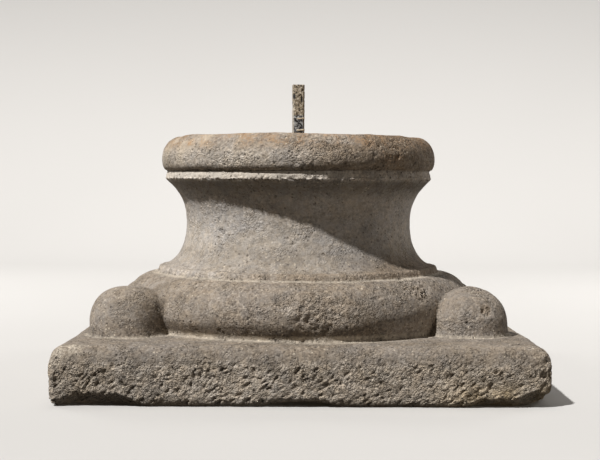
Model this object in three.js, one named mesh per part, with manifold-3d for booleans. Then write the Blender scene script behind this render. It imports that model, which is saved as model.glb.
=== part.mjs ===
// A column base of carved stone: a broad plinth with a worn bevel and rough-dressed faces, four corner
// knobs, a heavy lower roll, a deep hollow between two fillets, and an upper roll whose flat bed takes the
// shaft.
// A square iron dowel stands in a socket in the bed.
// Millimetres, +Z up. The origin is under the middle of the plinth, and the front faces -Y.
import * as THREE from "three";
import { mergeVertices } from "three/addons/utils/BufferGeometryUtils.js";
import Module from "manifold-3d";

// The round mouldings, from the plinth upwards. Each reach is measured outwards from the form that it names.
const axisShift = -2.6; // their axis stands a little left of the plinth's middle
const neckRadius = 115.5; // the hollow at its narrowest
const lowerFilletReach = 29; // beyond the neck
const lowerFilletHeight = 6.8;
const lowerFilletTaper = 2;
const lowerRollLedge = 1.6; // the step between the lower fillet and the crown of the roll
const lowerRollBulge = 30.9; // the roll's own radius in section
const lowerRollHeight = 52.7;
const hollowHeight = 88.6;
const upperFilletReach = 21.9; // beyond the neck
const upperFilletHeight = 7.4;
const upperFilletTaper = 2.3;
const upperRollReach = 3.4; // beyond the upper fillet
const upperRollHeight = 36.2;
const upperRollShoulder = 18.8; // how far the bed's edge is drawn in

// The plinth.
const frontMargin = 23.5; // from the lower roll to the front and back faces
const sideMargin = 47; // from the lower roll to the left and right faces
const plinthHeight = 54;
const bevelWidth = 13;
const bevelHeight = 15;
const cornerRadius = 6;
const brokenAlongFront = 13; // the front right corner is broken off, this far along the front
const brokenAlongSide = 6; // and this far back along the right side
const sideWear = 9; // how much further the bevel has worn in along the middle of the left and right sides
const topWear = 0.6; // how far the top falls at the bevel
const bandRelief = 1.5; // how deep the rough dressing of the faces is cut
const footInset = 5; // the underside's own worn edge
const footRound = 3;

// The corner knobs: domes on short stilts that spread at the foot, most of all towards the roll.
const knobSideInset = 60; // from the left and right faces to a knob's middle
const knobFrontInset = 95.5; // from the front and back faces
const leftKnobRadius = 38;
const rightKnobRadius = 35.5;
const rightKnobNearer = 2; // how much nearer the roll the right knobs stand
const frontKnobHeight = 45.5;
const backKnobHeight = 37;
const knobFootSpread = 2.2;
const knobFootHeight = 5;
const knobLean = 3;
const leftDomeFullness = 0.75; // the power that swells a dome's shoulders: 1 is an ellipse, less is fuller
const rightDomeFullness = 1;

// The dowel and its socket.
const dowelSide = 11;
const dowelHeight = 54; // above the bed
const dowelDepth = 80; // below the bed
const dowelChamfer = 1.2;
const dowelTurn = 7; // degrees
const socketClearance = 0.3;

// Shares of a form's own size, which give it its curve.
const waistShare = 0.47; // where the hollow is narrowest, of its height
const flareSharpness = 2.6; // how late the hollow flares under the upper fillet
const rollBellyShare = 0.35; // where the upper roll is widest, of its height
const stiltShare = 0.25; // the straight part of a knob's height
const domeEnd = 84; // degrees of the dome's arc, up to its small flat crown
const liftFade = 0.6; // how fast a spall's lift dies out with height above the underside
const bandShares = [0.25, 0.5, 0.75]; // the heights of the rough band's inner rings

// How finely the curves are faceted.
const roundSides = 80;
const lowerRollSteps = 9;
const hollowSteps = 6;
const bellySteps = 3;
const shoulderSteps = 6;
const knobSides = 22;
const domeSteps = 5;
const sidePoints = 18;
const cornerPoints = 4;
const bevelBends = [30, 60]; // degrees round the bevel

// The slow waves of the rough dressing: their lengths along the face and up it.
const dressingWaves = [
  { along: 56, up: 32 },
  { along: 91, up: -47 },
  { along: 195, up: 400 },
];

const lowerFilletRadius = neckRadius + lowerFilletReach;
const lowerRollCentre = lowerFilletRadius + lowerRollLedge;
const lowerRollRadius = lowerRollCentre + lowerRollBulge;
const upperFilletRadius = neckRadius + upperFilletReach;
const upperRollRadius = upperFilletRadius + upperRollReach;
const halfWidth = lowerRollRadius + sideMargin;
const halfDepth = lowerRollRadius + frontMargin;

const lowerRollTop = plinthHeight + lowerRollHeight;
const hollowBottom = lowerRollTop + lowerFilletHeight;
const hollowTop = hollowBottom + hollowHeight;
const upperRollBottom = hollowTop + upperFilletHeight;
const bedHeight = upperRollBottom + upperRollHeight;
const sunk = plinthHeight / 2; // how deep the mouldings and knobs reach into the plinth

// Spalls along the plinth's lower edge: the middle, the half length, how high the face is broken away, how
// far the break runs back under the block, and the way that it runs.
const frontSpall = { y: -halfDepth, inwards: new THREE.Vector2(0, 1) };
const rightSpall = { x: halfWidth, inwards: new THREE.Vector2(-1, 0) };
const backSpall = { y: halfDepth, inwards: new THREE.Vector2(0, -1) };
const leftSpall = { x: -halfWidth, inwards: new THREE.Vector2(1, 0) };
const cornerSpall = { x: halfWidth, y: -halfDepth, inwards: new THREE.Vector2(-0.7, 0.7) };
const spalls = [
  { ...frontSpall, x: -0.8 * halfWidth, half: 44, rise: 10, run: 14 },
  { ...frontSpall, x: 0, half: 38, rise: 6, run: 26 },
  { ...frontSpall, x: 0.78 * halfWidth, half: 32, rise: 6, run: 14 },
  { ...cornerSpall, half: 40, rise: 13, run: 18 },
  { ...rightSpall, y: 0.3 * halfDepth, half: 38, rise: 6, run: 12 },
  { ...backSpall, x: -0.45 * halfWidth, half: 46, rise: 7, run: 14 },
  { ...backSpall, x: 0.6 * halfWidth, half: 34, rise: 5, run: 10 },
  { ...leftSpall, y: 0.15 * halfDepth, half: 44, rise: 7, run: 13 },
  { ...leftSpall, y: 0.8 * halfDepth, half: 30, rise: 5, run: 10 },
];

const up = new THREE.Vector3(0, 0, 1);

const wasm = await Module();
wasm.setup();

// A closed geometry as a solid that can be joined and cut.
function solidFrom(geometry) {
  const bare = geometry.clone();
  bare.deleteAttribute("normal");
  bare.deleteAttribute("uv");
  const merged = mergeVertices(bare, 1e-4);
  return new wasm.Manifold(
    new wasm.Mesh({
      numProp: 3,
      vertProperties: merged.attributes.position.array,
      triVerts: new Uint32Array(merged.index.array),
    }),
  );
}

function geometryFrom(solid) {
  const mesh = solid.getMesh();
  const geometry = new THREE.BufferGeometry();
  geometry.setAttribute("position", new THREE.BufferAttribute(mesh.vertProperties, 3));
  geometry.setIndex(new THREE.BufferAttribute(mesh.triVerts, 1));
  geometry.computeVertexNormals();
  return geometry;
}

// A closed skin over rings of equal count, the lowest first, each running anticlockwise seen from above.
function skinOver(rings) {
  const count = rings[0].length;
  const middleOf = (ring) => ring.reduce((sum, p) => sum.add(p), new THREE.Vector3()).divideScalar(count);
  const points = [...rings.flat(), middleOf(rings[0]), middleOf(rings[rings.length - 1])];
  const bottom = points.length - 2;
  const top = points.length - 1;
  const last = (rings.length - 1) * count;
  const faces = [];
  for (let i = 0; i < count; i++) {
    const next = (i + 1) % count;
    faces.push(bottom, next, i);
    faces.push(top, last + i, last + next);
    for (let r = 0; r < last; r += count) {
      faces.push(r + i, r + next, r + count + next);
      faces.push(r + i, r + count + next, r + count + i);
    }
  }
  const geometry = new THREE.BufferGeometry().setFromPoints(points);
  geometry.setIndex(faces);
  return geometry;
}

// A stretch of an elliptical arc between two angles in degrees, as points that leave out its first.
function arcPoints(centre, reachR, reachZ, fromAngle, toAngle, steps) {
  return Array.from({ length: steps }, (_, i) => {
    const angle = THREE.MathUtils.degToRad(fromAngle + ((toAngle - fromAngle) * (i + 1)) / steps);
    return new THREE.Vector2(centre.x + reachR * Math.cos(angle), centre.y + reachZ * Math.sin(angle));
  });
}

// The plan of the plinth, drawn in by inset from its faces. Each point also knows its place along its side.
function planPoints(inset) {
  const sides = [
    { half: halfWidth, reach: halfDepth, wear: 0, angle: 0 },
    { half: halfDepth, reach: halfWidth, wear: sideWear, angle: 90 },
    { half: halfWidth, reach: halfDepth, wear: 0, angle: 180 },
    { half: halfDepth, reach: halfWidth, wear: sideWear, angle: 270 },
  ];
  return sides.flatMap(({ half, reach, wear, angle }) => {
    const straight = half - inset - cornerRadius;
    const drawn = [];
    for (let i = 0; i <= sidePoints; i++) {
      const share = (2 * i) / sidePoints - 1;
      const worn = wear * (inset / bevelWidth) * (1 - share ** 2);
      drawn.push({ along: straight * share, out: reach - inset - worn });
    }
    for (let i = 1; i < cornerPoints; i++) {
      const bend = (Math.PI / 2) * (i / cornerPoints);
      const along = straight + cornerRadius * Math.sin(bend);
      drawn.push({ along, out: reach - inset - cornerRadius * (1 - Math.cos(bend)) });
    }
    return drawn.map((point) => ({ ...point, turn: THREE.MathUtils.degToRad(angle) }));
  });
}

// The spall that bites hardest at a place in plan: whole over its middle, fading out towards its ends.
function spallAt(x, y) {
  let hardest = { bite: 0, rise: 0, run: 0, inwards: new THREE.Vector2() };
  for (const spall of spalls) {
    const away = Math.min(1, Math.hypot(x - spall.x, y - spall.y) / spall.half);
    const bite = (1 - away ** 4) ** 2;
    if (bite * spall.rise > hardest.bite * hardest.rise) hardest = { ...spall, bite };
  }
  return hardest;
}

// How deep the rough dressing cuts into a face at a place along it and up it.
function dressingAt(along, height) {
  let swell = 0;
  for (const wave of dressingWaves) {
    swell += Math.sin(2 * Math.PI * (along / wave.along + height / wave.up));
  }
  return (bandRelief * (1 - swell / dressingWaves.length)) / 2;
}

// Draws a point back onto the plane of the broken front right corner, where it stands in front of it.
function brokenBack(point) {
  const across = 1 / brokenAlongFront ** 2 + 1 / brokenAlongSide ** 2;
  const past = (point.x - halfWidth) / brokenAlongFront - (point.y + halfDepth) / brokenAlongSide + 1;
  const over = Math.max(0, past) / across;
  return point.add(new THREE.Vector3(-over / brokenAlongFront, over / brokenAlongSide, 0));
}

// One ring of the plinth at a height, drawn in by inset, with the dressing at its given strength. A spall
// lifts what is below its rise, and carries the underside's own ring back under the block.
function plinthRing(inset, height, dressing) {
  return planPoints(inset).map(({ along, out, turn }) => {
    const cut = dressing * dressingAt(along, height);
    const point = new THREE.Vector3(along, cut - out, height).applyAxisAngle(up, turn);
    const { bite, rise, run, inwards } = spallAt(point.x, point.y);
    const carried = height === 0 ? bite * run : 0;
    const lifted = height === 0 ? 0 : Math.max(0, bite * rise - height * liftFade);
    return brokenBack(point.add(new THREE.Vector3(carried * inwards.x, carried * inwards.y, lifted)));
  });
}

function plinth() {
  const bandHeight = plinthHeight - bevelHeight;
  const rings = [plinthRing(footInset, 0, 1), plinthRing(footInset / 4, footRound, 1)];
  for (const share of bandShares) rings.push(plinthRing(0, bandHeight * share, 1));
  rings.push(plinthRing(0, bandHeight, 0.4));
  for (const bend of bevelBends) {
    const angle = THREE.MathUtils.degToRad(bend);
    const inset = bevelWidth * (1 - Math.cos(angle));
    rings.push(plinthRing(inset, bandHeight + (bevelHeight - topWear) * Math.sin(angle), 0));
  }
  rings.push(plinthRing(bevelWidth, plinthHeight - topWear, 0));
  rings.push(plinthRing(bevelWidth * 2, plinthHeight, 0));
  return skinOver(rings);
}

// The lower roll's section, from its foot on the plinth to its crown.
function lowerRollPoints() {
  const centre = new THREE.Vector2(lowerRollCentre, lowerRollTop - lowerRollBulge);
  const drop = Math.min(1, (centre.y - plinthHeight) / lowerRollBulge);
  const footAngle = -THREE.MathUtils.radToDeg(Math.asin(drop));
  const foot = new THREE.Vector2(centre.x + lowerRollBulge * Math.sqrt(1 - drop ** 2), plinthHeight);
  return [foot, ...arcPoints(centre, lowerRollBulge, lowerRollBulge, footAngle, 90, lowerRollSteps)];
}

// The hollow's section: a quarter ellipse down to the lower fillet, and a late flare up to the upper one.
function hollowPoints(startRadius) {
  const waist = new THREE.Vector2(startRadius, hollowBottom + hollowHeight * waistShare);
  const quarter = arcPoints(waist, neckRadius - startRadius, hollowBottom - waist.y, 90, 0, hollowSteps);
  const flare = Array.from({ length: hollowSteps }, (_, i) => {
    const share = (i + 1) / hollowSteps;
    const radius = neckRadius + (upperFilletRadius - neckRadius) * share ** flareSharpness;
    return new THREE.Vector2(radius, waist.y + (hollowTop - waist.y) * share);
  });
  return [...quarter, ...flare];
}

// The upper roll's section: a tight curve up to its belly, and a longer one over its shoulder to the bed.
function upperRollPoints(startRadius) {
  const bellyHeight = upperRollBottom + upperRollHeight * rollBellyShare;
  const under = new THREE.Vector2(startRadius, bellyHeight);
  const over = new THREE.Vector2(upperRollRadius - upperRollShoulder, bellyHeight);
  return [
    ...arcPoints(under, upperRollRadius - under.x, bellyHeight - upperRollBottom, -90, 0, bellySteps),
    ...arcPoints(over, upperRollShoulder, bedHeight - bellyHeight, 0, 90, shoulderSteps),
  ];
}

// The whole section, from the axis inside the plinth, out and up, and back to the axis on the bed.
function mouldings() {
  const lowerRoll = lowerRollPoints();
  const lowerFilletTop = new THREE.Vector2(lowerFilletRadius - lowerFilletTaper, hollowBottom);
  const upperFilletTop = new THREE.Vector2(upperFilletRadius - upperFilletTaper, upperRollBottom);
  const section = [
    new THREE.Vector2(0, plinthHeight - sunk),
    new THREE.Vector2(lowerRoll[0].x, plinthHeight - sunk),
    ...lowerRoll,
    new THREE.Vector2(lowerFilletRadius, lowerRollTop),
    lowerFilletTop,
    ...hollowPoints(lowerFilletTop.x),
    upperFilletTop,
    ...upperRollPoints(upperFilletTop.x),
    new THREE.Vector2(0, bedHeight),
  ];
  return new THREE.LatheGeometry(section, roundSides).rotateX(Math.PI / 2).translate(axisShift, 0, 0);
}

// A knob: a spreading foot, a short stilt and a dome, all leaning a little towards the roll at the foot.
function knob(x, y, radius, height, fullness) {
  const stilt = height * stiltShare;
  const levels = [
    { rise: -sunk, reach: radius + knobFootSpread },
    { rise: 0, reach: radius + knobFootSpread },
    { rise: knobFootHeight, reach: radius + knobFootSpread / 4 },
    { rise: Math.max(stilt, knobFootHeight * 1.5), reach: radius },
  ];
  const domeStart = levels[levels.length - 1].rise;
  for (let i = 1; i <= domeSteps; i++) {
    const bend = THREE.MathUtils.degToRad((domeEnd * i) / domeSteps);
    const rise = domeStart + (height - domeStart) * Math.sin(bend);
    levels.push({ rise, reach: radius * Math.cos(bend) ** fullness });
  }
  const inwards = new THREE.Vector2(-x, -y).normalize();
  const rings = levels.map(({ rise, reach }) =>
    Array.from({ length: knobSides }, (_, i) => {
      const angle = (2 * Math.PI * i) / knobSides;
      const facing = Math.max(0, Math.cos(angle - inwards.angle()));
      const lean = knobLean * facing * (1 - Math.max(0, rise) / height) ** 2;
      const pointX = x + reach * Math.cos(angle) + lean * inwards.x;
      const pointY = y + reach * Math.sin(angle) + lean * inwards.y;
      return new THREE.Vector3(pointX, pointY, plinthHeight + rise);
    }),
  );
  return skinOver(rings);
}

// A square bar with chamfered arrises, from a bottom to a top height on the mouldings' axis.
function squareBar(side, bottom, top) {
  const half = side / 2;
  const short = half - dowelChamfer;
  const quarter = [new THREE.Vector2(half, -short), new THREE.Vector2(half, short)];
  const outline = [0, 1, 2, 3].flatMap((turns) =>
    quarter.map((corner) => corner.clone().rotateAround(new THREE.Vector2(), (turns * Math.PI) / 2)),
  );
  const length = { depth: top - bottom, bevelEnabled: false };
  const bar = new THREE.ExtrudeGeometry(new THREE.Shape(outline), length);
  return bar.rotateZ(THREE.MathUtils.degToRad(dowelTurn)).translate(axisShift, 0, bottom);
}

function stoneBase() {
  let block = solidFrom(plinth()).add(solidFrom(mouldings()));
  const knobX = halfWidth - knobSideInset;
  const knobY = halfDepth - knobFrontInset;
  const sides = [
    { x: -knobX, radius: leftKnobRadius, fullness: leftDomeFullness },
    { x: knobX - rightKnobNearer, radius: rightKnobRadius, fullness: rightDomeFullness },
  ];
  for (const { x, radius, fullness } of sides) {
    for (const [y, height] of [[-knobY, frontKnobHeight], [knobY, backKnobHeight]]) {
      block = block.add(solidFrom(knob(x, y, radius, height, fullness)));
    }
  }
  const socketFloor = bedHeight - dowelDepth - socketClearance;
  const socket = squareBar(dowelSide + 2 * socketClearance, socketFloor, bedHeight + dowelHeight);
  return geometryFrom(block.subtract(solidFrom(socket)));
}

function ironDowel() {
  return squareBar(dowelSide, bedHeight - dowelDepth, bedHeight + dowelHeight);
}

function piece(name, geometry, finish) {
  const mesh = new THREE.Mesh(geometry, new THREE.MeshStandardMaterial(finish));
  mesh.name = name;
  return mesh;
}

const columnBase = new THREE.Group();
columnBase.add(piece("stone_base", stoneBase(), { color: 0x8c8176, roughness: 0.92, metalness: 0 }));
columnBase.add(piece("iron_dowel", ironDowel(), { color: 0x6f675c, roughness: 0.75, metalness: 0.6 }));

export default columnBase;
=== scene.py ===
# A weathered stone column base with an iron dowel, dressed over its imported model.
# Metres, +Z up, and the front faces -Y.
import bpy
import math
from mathutils import Matrix, Vector


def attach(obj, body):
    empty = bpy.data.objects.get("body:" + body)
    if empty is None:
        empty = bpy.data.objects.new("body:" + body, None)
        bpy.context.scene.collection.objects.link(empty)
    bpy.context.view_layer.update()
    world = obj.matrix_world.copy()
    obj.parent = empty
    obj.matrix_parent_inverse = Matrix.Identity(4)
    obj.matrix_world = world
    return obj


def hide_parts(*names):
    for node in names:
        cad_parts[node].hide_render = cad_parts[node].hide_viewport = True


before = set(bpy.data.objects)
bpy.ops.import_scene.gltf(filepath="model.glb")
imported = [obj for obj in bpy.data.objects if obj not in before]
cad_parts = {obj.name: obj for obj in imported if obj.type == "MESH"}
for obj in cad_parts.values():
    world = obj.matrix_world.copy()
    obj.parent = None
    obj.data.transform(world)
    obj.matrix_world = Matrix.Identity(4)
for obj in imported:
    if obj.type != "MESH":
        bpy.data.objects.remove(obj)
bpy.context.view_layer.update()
print("frame loaded:", sorted(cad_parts))


# Small helpers that keep the node trees short. They serve geometry trees and material trees alike, and add
# their nodes to the tree that is being built.
building = {"tree": None}


def newNode(kind, inputs=None, **settings):
    node = building["tree"].nodes.new(kind)
    for key, value in settings.items():
        setattr(node, key, value)
    for name, value in (inputs or {}).items():
        feed(node.inputs[name], value)
    return node


def link(source, socket):
    building["tree"].links.new(source, socket)


def feed(socket, value):
    if isinstance(value, bpy.types.NodeSocket):
        link(value, socket)
    elif value is not None:
        socket.default_value = value


def maths(operation, *values, clamp=False):
    return newNode("ShaderNodeMath", dict(enumerate(values)), operation=operation, use_clamp=clamp).outputs[0]


def plus(first, second):
    return maths("ADD", first, second)


def less(first, second):
    return maths("SUBTRACT", first, second)


def scaled(value, factor, offset):
    return maths("MULTIPLY_ADD", value, factor, offset)


def over(first, second):
    return maths("DIVIDE", first, second)


def times(first, *others):
    for other in others:
        first = maths("MULTIPLY", first, other)
    return first


def most(first, *others):
    for other in others:
        first = maths("MAXIMUM", first, other)
    return first


def vectorMaths(operation, first, second=None, scale=None):
    inputs = {0: first, 1: second} if scale is None else {0: first, "Scale": scale}
    node = newNode("ShaderNodeVectorMath", inputs, operation=operation)
    return node.outputs["Value"] if operation in ("DOT_PRODUCT", "LENGTH", "DISTANCE") else node.outputs[0]


def distance(first, second):
    return vectorMaths("DISTANCE", first, second)


# The position, normal or index in a geometry tree.
def reading(name):
    return newNode("GeometryNodeInput" + name).outputs[0]


# A smooth step of value from low to high, given as 0 to 1, or between the two ends given.
def ramp(value, low, high, start=0.0, end=1.0):
    inputs = {"Value": value, "From Min": low, "From Max": high, "To Min": start, "To Max": end}
    return newNode("ShaderNodeMapRange", inputs, interpolation_type="SMOOTHSTEP").outputs[0]


# The share that rows of limits give at each place. A row names the field that it goes by, from where to
# where, and the share at the two ends, or else nought and one. The rows are multiplied, and a row without
# limits is a share by itself.
def shareOf(fields, rows):
    return times(*(ramp(fields[name], *limits) if limits else fields[name] for name, *limits in rows))


def noise(vector, size, detail, roughness, shift):
    inputs = {"Vector": vector, "W": shift, "Scale": 1 / size, "Detail": detail, "Roughness": roughness}
    return newNode("ShaderNodeTexNoise", inputs, noise_dimensions="4D").outputs[0]


# Cells of about the given size: the distance to the nearest middle, in cells, and a random number per cell.
def cells(vector, size, flat=False):
    inputs = {"Vector": vector, "Scale": 1 / size}
    node = newNode("ShaderNodeTexVoronoi", inputs, voronoi_dimensions="2D" if flat else "3D")
    return node.outputs["Distance"], apart(node.outputs["Color"])[0]


# A place pushed about by a noise of the given size, so that what is built on it gets ragged outlines.
def ragged(vector, size, amount):
    node = newNode("ShaderNodeTexNoise", {"Vector": vector, "Scale": 1 / size})
    push = vectorMaths("SUBTRACT", node.outputs["Color"], (0.5, 0.5, 0.5))
    return vectorMaths("ADD", vector, vectorMaths("SCALE", push, scale=amount))


def apart(vector):
    return newNode("ShaderNodeSeparateXYZ", {0: vector}).outputs


def together(x, y, z):
    return newNode("ShaderNodeCombineXYZ", {0: x, 1: y, 2: z}).outputs[0]


def mixed(share, first, second, way="MIX"):
    inputs = {"Factor": share, "A": first, "B": second}
    return newNode("ShaderNodeMix", inputs, data_type="RGBA", blend_type=way).outputs["Result"]


# An sRGB colour as seen on a screen, as the linear colour that a shader takes.
def seen(red, green, blue):
    linear = [((v / 255 + 0.055) / 1.055) ** 2.4 if v > 10 else v / 255 / 12.92 for v in (red, green, blue)]
    return (*linear, 1.0)


def linked(name, mesh):
    thing = bpy.data.objects.new(name, mesh)
    bpy.context.scene.collection.objects.link(thing)
    return thing


# Starts a geometry tree. Its inputs are floats and one material, and others of the kinds given.
def geometryTree(name, floats, material, **others):
    tree = building["tree"] = bpy.data.node_groups.new(name, "GeometryNodeTree")
    tree.interface.new_socket("Geometry", in_out="INPUT", socket_type="NodeSocketGeometry")
    for label, kind in {**others, **dict.fromkeys(floats, "Float"), material: "Material"}.items():
        tree.interface.new_socket(label, in_out="INPUT", socket_type="NodeSocket" + kind)
    tree.interface.new_socket("Geometry", in_out="OUTPUT", socket_type="NodeSocketGeometry")
    return tree, newNode("NodeGroupInput").outputs, newNode("NodeGroupOutput").inputs


# Ends a tree as the export wants it: instances made real and the material set.
def closeTree(geometry, material, outputs):
    real = newNode("GeometryNodeRealizeInstances", {0: geometry})
    dressed = newNode("GeometryNodeSetMaterial", {"Geometry": real.outputs[0], "Material": material})
    link(dressed.outputs[0], outputs[0])


# Runs a tree on a mesh with named values, and gives back the plain mesh that it makes.
def grown(mesh, tree, values):
    thing = linked("growing", mesh)
    modifier = thing.modifiers.new("tree", "NODES")
    modifier.node_group = tree
    sockets = {s.name: s.identifier for s in tree.interface.items_tree if s.in_out == "INPUT"}
    for label, value in values.items():
        modifier[sockets[label]] = value
    return plainMesh(thing)


def plainMesh(thing):
    graph = bpy.context.evaluated_depsgraph_get()
    mesh = bpy.data.meshes.new_from_object(thing.evaluated_get(graph))
    bpy.data.objects.remove(thing)
    return mesh


# The block's own sizes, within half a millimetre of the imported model's.
block = {
    "axisShift": -0.0026,
    "neckRadius": 0.1155,
    "lowerFilletReach": 0.029,
    "lowerFilletHeight": 0.0068,
    "lowerFilletTaper": 0.002,
    "lowerRollLedge": 0.0016,
    "lowerRollBulge": 0.0309,
    "lowerRollHeight": 0.0527,
    "hollowHeight": 0.0891,
    "waistShare": 0.47,
    "flareSharpness": 2.6,
    "upperFilletReach": 0.0219,
    "upperFilletHeight": 0.0074,
    "upperFilletTaper": 0.0023,
    "upperRollReach": 0.0034,
    "upperRollHeight": 0.0357,
    "upperRollShoulder": 0.0188,
    "bellyShare": 0.35,
    "undercut": 0.0016,
    "undercutEnd": -66,
    "apron": 0.0042,
    "apronRise": (0.30, 0.28),
    "apronJoin": 0.7,
    "flareSteps": 24,
    "frontMargin": 0.0235,
    "sideMargin": 0.047,
    "plinthHeight": 0.054,
    "bevelWidth": 0.013,
    "bevelHeight": 0.015,
    "bevelStep": 6,
    "cornerRadius": 0.006,
    "cornerSteps": 6,
    "cornerBreak": (0.013, 0.006),
    "sideWear": 0.009,
    "topWear": 0.0006,
    "bandRows": 9,
    "bandRelief": 0.0015,
    "reliefFade": ((0.75, 1.0), (0.95, 0.7), (1.05, 0.4)),
    "dressingWaves": ((0.056, 0.032), (0.091, -0.047), (0.195, 0.400)),
    "footInset": 0.005,
    "footRound": 0.003,
    "liftFade": 0.6,
    "knobSideInset": 0.060,
    "knobFrontInset": 0.0955,
    "rightKnobNearer": 0.002,
    "knobRadii": (0.038, 0.0355),
    "domeFullness": (0.75, 1.0),
    "knobHeights": (0.0455, 0.037),
    "knobFootSpread": 0.0022,
    "knobFootHeight": 0.005,
    "knobLean": 0.003,
    "stiltShare": 0.25,
    "domeEnd": 84,
    "turnedSides": 240,
    "knobSides": 72,
    "arcStep": 4,
    "planStep": 0.004,
    "voxel": 0.0011,
    "mostTriangles": 196000,
}

lowerFilletRadius = block["neckRadius"] + block["lowerFilletReach"]
upperFilletRadius = block["neckRadius"] + block["upperFilletReach"]
rollCentre = lowerFilletRadius + block["lowerRollLedge"]
rollRadius = rollCentre + block["lowerRollBulge"]
halfWidth = rollRadius + block["sideMargin"]
halfDepth = rollRadius + block["frontMargin"]
plinthTop = block["plinthHeight"]
rollTop = plinthTop + block["lowerRollHeight"]
hollowBottom = rollTop + block["lowerFilletHeight"]
hollowTop = hollowBottom + block["hollowHeight"]
upperRollBottom = hollowTop + block["upperFilletHeight"]
bedHeight = upperRollBottom + block["upperRollHeight"]
knobX = halfWidth - block["knobSideInset"]
knobY = halfDepth - block["knobFrontInset"]

# Spalls along the plinth's lower edge: middle, half length, rise, run under the block, and its way.
spalls = (
    ((-0.8 * halfWidth, -halfDepth), 0.044, 0.010, 0.014, (0, 1)),
    ((0, -halfDepth), 0.038, 0.006, 0.026, (0, 1)),
    ((0.78 * halfWidth, -halfDepth), 0.032, 0.006, 0.014, (0, 1)),
    ((halfWidth, -halfDepth), 0.040, 0.013, 0.018, (-0.7, 0.7)),
    ((halfWidth, 0.3 * halfDepth), 0.038, 0.006, 0.012, (-1, 0)),
    ((-0.45 * halfWidth, halfDepth), 0.046, 0.007, 0.014, (0, -1)),
    ((0.6 * halfWidth, halfDepth), 0.034, 0.005, 0.010, (0, -1)),
    ((-halfWidth, 0.15 * halfDepth), 0.044, 0.007, 0.013, (1, 0)),
    ((-halfWidth, 0.8 * halfDepth), 0.030, 0.005, 0.010, (1, 0)),
)


# A stretch of an elliptical arc as (radius, height) points, leaving out its first.
def arc(centre, reachR, reachZ, fromAngle, toAngle):
    steps = max(2, round(abs(toAngle - fromAngle) / block["arcStep"]))
    turns = [math.radians(fromAngle + (toAngle - fromAngle) * (i + 1) / steps) for i in range(steps)]
    return [(centre[0] + reachR * math.cos(a), centre[1] + reachZ * math.sin(a)) for a in turns]


# The mouldings' section, from the axis inside the plinth, out and up, and back to the axis on the bed.
def mouldingSection():
    bulge = block["lowerRollBulge"]
    centre = (rollCentre, rollTop - bulge)
    drop = (centre[1] - plinthTop) / bulge
    apron = block["apron"]
    foot = (centre[0] + bulge * math.sqrt(1 - drop ** 2) + apron, plinthTop)
    inward, upward = block["apronRise"]
    apronRise = (foot[0] - inward * apron, plinthTop + upward * apron)
    joinAngle = -math.degrees(math.asin(drop - block["apronJoin"] * apron / bulge))
    lowerRoll = [apronRise, *arc(centre, bulge, bulge, joinAngle, 90)]
    filletTop = (lowerFilletRadius - block["lowerFilletTaper"], hollowBottom)
    waist = (filletTop[0], hollowBottom + block["hollowHeight"] * block["waistShare"])
    hollow = arc(waist, block["neckRadius"] - waist[0], hollowBottom - waist[1], 90, 0)
    for i in range(1, block["flareSteps"] + 1):
        share = i / block["flareSteps"]
        radius = block["neckRadius"] + block["upperFilletReach"] * share ** block["flareSharpness"]
        hollow.append((radius, waist[1] + (hollowTop - waist[1]) * share))
    lip = (upperFilletRadius - block["upperFilletTaper"], upperRollBottom)
    undercut = block["undercut"]
    groove = [(lip[0] - undercut, lip[1]), (lip[0] - undercut, lip[1] + undercut / 2)]
    belly = upperRollBottom + block["upperRollHeight"] * block["bellyShare"]
    rollReach = block["upperFilletTaper"] + block["upperRollReach"]
    under = arc((lip[0], belly), rollReach, belly - upperRollBottom, block["undercutEnd"], 0)
    shoulder = block["upperRollShoulder"]
    over = arc((lip[0] + rollReach - shoulder, belly), shoulder, bedHeight - belly, 0, 90)
    inside = plinthTop / 2
    start = [(0, inside), (foot[0], inside), foot]
    rise = [(lowerFilletRadius, rollTop), filletTop, *hollow, lip, *groove]
    return [*start, *lowerRoll, *rise, *under, *over, (0, bedHeight)]


# A knob's section: a spreading foot, a short stilt and a dome.
def knobSection(radius, height, fullness):
    spread = block["knobFootSpread"]
    stilt = max(height * block["stiltShare"], block["knobFootHeight"] * 1.5)
    section = [(0, -plinthTop / 2), (radius + spread, -plinthTop / 2), (radius + spread, 0)]
    section += [(radius + spread / 4, block["knobFootHeight"]), (radius, stilt)]
    steps = round(block["domeEnd"] / block["arcStep"])
    for i in range(1, steps + 1):
        bend = math.radians(block["domeEnd"] * i / steps)
        section.append((radius * math.cos(bend) ** fullness, stilt + (height - stilt) * math.sin(bend)))
    return [(r, plinthTop + z) for r, z in [*section, (0, height)]]


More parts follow.
